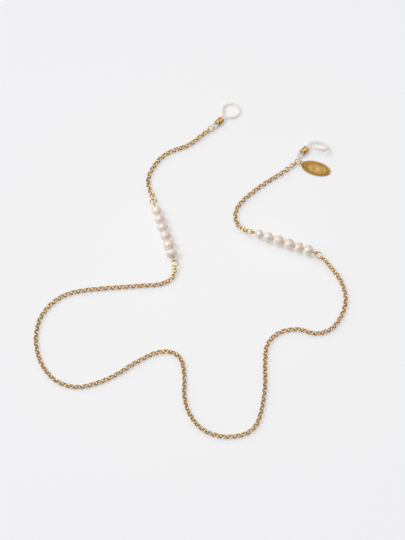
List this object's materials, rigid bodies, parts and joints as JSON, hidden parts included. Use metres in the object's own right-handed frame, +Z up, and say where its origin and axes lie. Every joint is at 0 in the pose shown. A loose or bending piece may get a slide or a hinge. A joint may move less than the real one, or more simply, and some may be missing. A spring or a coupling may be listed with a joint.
{
  "type": "eyeglasses chain strap",
  "caption": "Gilt belcher chain that carries eyeglasses round the neck, with pearl bars, clear rubber temple loops and an oval tag.",
  "frame": {"origin": "on the surface the strap lies on, under the middle of its bounding box", "axes": "+Z up, +Y from the long chain's low bend towards the temple loops, +X to the right with the tag on the right-hand end"},
  "size_m": [0.1879, 0.2331, 0.008],
  "materials": {
    "chain": "gilt, polished",
    "ring": "gilt, polished wire",
    "pin": "gilt, polished wire",
    "collar": "gilt, mirror polished",
    "tag": "antique gilt, satin",
    "pearl": "nacre lustre, cream white",
    "rubber_cord": "clear milky silicone"
  },
  "bodies": {
    "left_temple_loop": {"left_temple_loop": "rubber_cord"},
    "left_collar": {"left_collar": "collar"},
    "left_end_ring": {"left_end_ring": "ring"},
    "left_short_chain_1": {"left_short_chain_1": "chain"},
    "left_short_chain_2": {"left_short_chain_2": "chain"},
    "left_top_ring": {"left_top_ring": "ring"},
    "left_bar_pin": {"left_bar_pin": "pin"},
    "left_low_ring": {"left_low_ring": "ring"},
    "left_pearl_1": {"left_pearl_1": "pearl"},
    "left_pearl_2": {"left_pearl_2": "pearl"},
    "left_pearl_3": {"left_pearl_3": "pearl"},
    "left_pearl_4": {"left_pearl_4": "pearl"},
    "left_pearl_5": {"left_pearl_5": "pearl"},
    "left_pearl_6": {"left_pearl_6": "pearl"},
    "long_chain_1": {"long_chain_1": "chain"},
    "long_chain_2": {"long_chain_2": "chain"},
    "long_chain_3": {"long_chain_3": "chain"},
    "long_chain_4": {"long_chain_4": "chain"},
    "long_chain_5": {"long_chain_5": "chain"},
    "long_chain_6": {"long_chain_6": "chain"},
    "long_chain_7": {"long_chain_7": "chain"},
    "long_chain_8": {"long_chain_8": "chain"},
    "right_low_ring": {"right_low_ring": "ring"},
    "right_bar_pin": {"right_bar_pin": "pin"},
    "right_top_ring": {"right_top_ring": "ring"},
    "right_pearl_1": {"right_pearl_1": "pearl"},
    "right_pearl_2": {"right_pearl_2": "pearl"},
    "right_pearl_3": {"right_pearl_3": "pearl"},
    "right_pearl_4": {"right_pearl_4": "pearl"},
    "right_pearl_5": {"right_pearl_5": "pearl"},
    "right_pearl_6": {"right_pearl_6": "pearl"},
    "right_short_chain_1": {"right_short_chain_1": "chain"},
    "right_short_chain_2": {"right_short_chain_2": "chain"},
    "right_end_ring": {"right_end_ring": "ring"},
    "right_collar": {"right_collar": "collar"},
    "right_temple_loop": {"right_temple_loop": "rubber_cord"},
    "tag_ring": {"tag_ring": "ring"},
    "tag": {"tag": "tag"}
  },
  "joints": [
    {"name": "long_chain_4_bend", "type": "hinge", "parent": "long_chain_5", "child": "long_chain_4", "pos_m": [-0.00488, -0.06997, 0.00138], "axis": [0, 0, 1], "range_deg": [-6, 25]},
    {"name": "long_chain_3_bend", "type": "hinge", "parent": "long_chain_4", "child": "long_chain_3", "pos_m": [-0.05018, -0.07594, 0.00138], "axis": [0, 0, 1], "range_deg": [-8, 25]},
    {"name": "long_chain_2_bend", "type": "hinge", "parent": "long_chain_3", "child": "long_chain_2", "pos_m": [-0.0927, -0.05488, 0.00138], "axis": [0, 0, -1], "range_deg": [-25, 8]},
    {"name": "long_chain_1_bend", "type": "hinge", "parent": "long_chain_2", "child": "long_chain_1", "pos_m": [-0.0609, -0.01472, 0.00138], "axis": [0, 0, -1], "range_deg": [-25, 12]},
    {"name": "long_chain_6_bend", "type": "hinge", "parent": "long_chain_5", "child": "long_chain_6", "pos_m": [0.02034, -0.11518, 0.00138], "axis": [0, 0, -1], "range_deg": [-6, 25]},
    {"name": "long_chain_7_bend", "type": "hinge", "parent": "long_chain_6", "child": "long_chain_7", "pos_m": [0.04345, -0.06994, 0.00138], "axis": [0, 0, 1], "range_deg": [-25, 12]},
    {"name": "long_chain_8_bend", "type": "hinge", "parent": "long_chain_7", "child": "long_chain_8", "pos_m": [0.08093, -0.04325, 0.00138], "axis": [0, 0, -1], "range_deg": [-15, 25]},
    {"name": "left_low_ring_swing", "type": "hinge", "parent": "long_chain_1", "child": "left_low_ring", "pos_m": [-0.01036, 0.00125, 0.00256], "axis": [0, 0, 1], "range_deg": [-15, 35]},
    {"name": "left_bar_swing", "type": "hinge", "parent": "left_low_ring", "child": "left_bar_pin", "pos_m": [-0.01053, 0.00349, 0.00375], "axis": [0, 0, -1], "range_deg": [-35, 15]},
    {"name": "left_pearl_1_spin", "type": "hinge", "parent": "left_bar_pin", "child": "left_pearl_1", "pos_m": [-0.0168, 0.024, 0.00375], "axis": [0.2924, -0.9563, 0], "continuous": true},
    {"name": "left_pearl_2_spin", "type": "hinge", "parent": "left_bar_pin", "child": "left_pearl_2", "pos_m": [-0.0168, 0.024, 0.00375], "axis": [0.2924, -0.9563, 0], "continuous": true},
    {"name": "left_pearl_3_spin", "type": "hinge", "parent": "left_bar_pin", "child": "left_pearl_3", "pos_m": [-0.0168, 0.024, 0.00375], "axis": [0.2924, -0.9563, 0], "continuous": true},
    {"name": "left_pearl_4_spin", "type": "hinge", "parent": "left_bar_pin", "child": "left_pearl_4", "pos_m": [-0.0168, 0.024, 0.00375], "axis": [0.2924, -0.9563, 0], "continuous": true},
    {"name": "left_pearl_5_spin", "type": "hinge", "parent": "left_bar_pin", "child": "left_pearl_5", "pos_m": [-0.0168, 0.024, 0.00375], "axis": [0.2924, -0.9563, 0], "continuous": true},
    {"name": "left_pearl_6_spin", "type": "hinge", "parent": "left_bar_pin", "child": "left_pearl_6", "pos_m": [-0.0168, 0.024, 0.00375], "axis": [0.2924, -0.9563, 0], "continuous": true},
    {"name": "left_top_ring_swing", "type": "hinge", "parent": "left_bar_pin", "child": "left_top_ring", "pos_m": [-0.02307, 0.04451, 0.00375], "axis": [0, 0, 1], "range_deg": [-20, 35]},
    {"name": "left_short_chain_1_bend", "type": "hinge", "parent": "left_top_ring", "child": "left_short_chain_1", "pos_m": [-0.02353, 0.04671, 0.00256], "axis": [0, 0, 1], "range_deg": [-20, 35]},
    {"name": "left_short_chain_2_bend", "type": "hinge", "parent": "left_short_chain_1", "child": "left_short_chain_2", "pos_m": [-0.01702, 0.07886, 0.00138], "axis": [0, 0, -1], "range_deg": [-24, 22]},
    {"name": "left_end_ring_swing", "type": "hinge", "parent": "left_short_chain_2", "child": "left_end_ring", "pos_m": [0.01078, 0.09679, 0.00202], "axis": [0, 0, 1], "range_deg": [-35, 35]},
    {"name": "left_temple_loop_swing", "type": "hinge", "parent": "left_end_ring", "child": "left_temple_loop", "pos_m": [0.01219, 0.09787, 0.0023], "axis": [0, 0, -1], "range_deg": [-35, 15]},
    {"name": "left_collar_slide", "type": "slide", "parent": "left_temple_loop", "child": "left_collar", "axis": [0.6561, 0.7547, 0], "range_m": [0, 0.0011]},
    {"name": "right_low_ring_swing", "type": "hinge", "parent": "long_chain_8", "child": "right_low_ring", "pos_m": [0.07698, 0.00737, 0.00257], "axis": [0, 0, 1], "range_deg": [-35, 35]},
    {"name": "right_bar_swing", "type": "hinge", "parent": "right_low_ring", "child": "right_bar_pin", "pos_m": [0.07538, 0.00893, 0.00375], "axis": [0, 0, -1], "range_deg": [-35, 35]},
    {"name": "right_pearl_1_spin", "type": "hinge", "parent": "right_bar_pin", "child": "right_pearl_1", "pos_m": [0.0554, 0.0166, 0.00375], "axis": [0.9336, -0.3584, 0], "continuous": true},
    {"name": "right_pearl_2_spin", "type": "hinge", "parent": "right_bar_pin", "child": "right_pearl_2", "pos_m": [0.0554, 0.0166, 0.00375], "axis": [0.9336, -0.3584, 0], "continuous": true},
    {"name": "right_pearl_3_spin", "type": "hinge", "parent": "right_bar_pin", "child": "right_pearl_3", "pos_m": [0.0554, 0.0166, 0.00375], "axis": [0.9336, -0.3584, 0], "continuous": true},
    {"name": "right_pearl_4_spin", "type": "hinge", "parent": "right_bar_pin", "child": "right_pearl_4", "pos_m": [0.0554, 0.0166, 0.00375], "axis": [0.9336, -0.3584, 0], "continuous": true},
    {"name": "right_pearl_5_spin", "type": "hinge", "parent": "right_bar_pin", "child": "right_pearl_5", "pos_m": [0.0554, 0.0166, 0.00375], "axis": [0.9336, -0.3584, 0], "continuous": true},
    {"name": "right_pearl_6_spin", "type": "hinge", "parent": "right_bar_pin", "child": "right_pearl_6", "pos_m": [0.0554, 0.0166, 0.00375], "axis": [0.9336, -0.3584, 0], "continuous": true},
    {"name": "right_top_ring_swing", "type": "hinge", "parent": "right_bar_pin", "child": "right_top_ring", "pos_m": [0.03542, 0.02427, 0.00375], "axis": [0, 0, -1], "range_deg": [-30, 30]},
    {"name": "right_short_chain_1_bend", "type": "hinge", "parent": "right_top_ring", "child": "right_short_chain_1", "pos_m": [0.03338, 0.02521, 0.00256], "axis": [0, 0, 1], "range_deg": [-30, 30]},
    {"name": "right_short_chain_2_bend", "type": "hinge", "parent": "right_short_chain_1", "child": "right_short_chain_2", "pos_m": [0.03625, 0.0527, 0.00138], "axis": [0, 0, 1], "range_deg": [-22, 22]},
    {"name": "right_end_ring_swing", "type": "hinge", "parent": "right_short_chain_2", "child": "right_end_ring", "pos_m": [0.0632, 0.07358, 0.00202], "axis": [0, 0, 1], "range_deg": [-35, 35]},
    {"name": "right_temple_loop_swing", "type": "hinge", "parent": "right_end_ring", "child": "right_temple_loop", "pos_m": [0.06423, 0.07489, 0.0023], "axis": [0, 0, -1], "range_deg": [-33, 30]},
    {"name": "right_collar_slide", "type": "slide", "parent": "right_temple_loop", "child": "right_collar", "axis": [0.6561, 0.7547, 0], "range_m": [0, 0.0011]},
    {"name": "tag_ring_swing", "type": "hinge", "parent": "right_end_ring", "child": "tag_ring", "pos_m": [0.06528, 0.07371, 0.0022], "axis": [0, 0, -1], "range_deg": [-35, 35]},
    {"name": "tag_swing", "type": "hinge", "parent": "tag_ring", "child": "tag", "pos_m": [0.06781, 0.07253, 0.00104], "axis": [0, 0, 1], "range_deg": [-35, 35]}
  ]
}
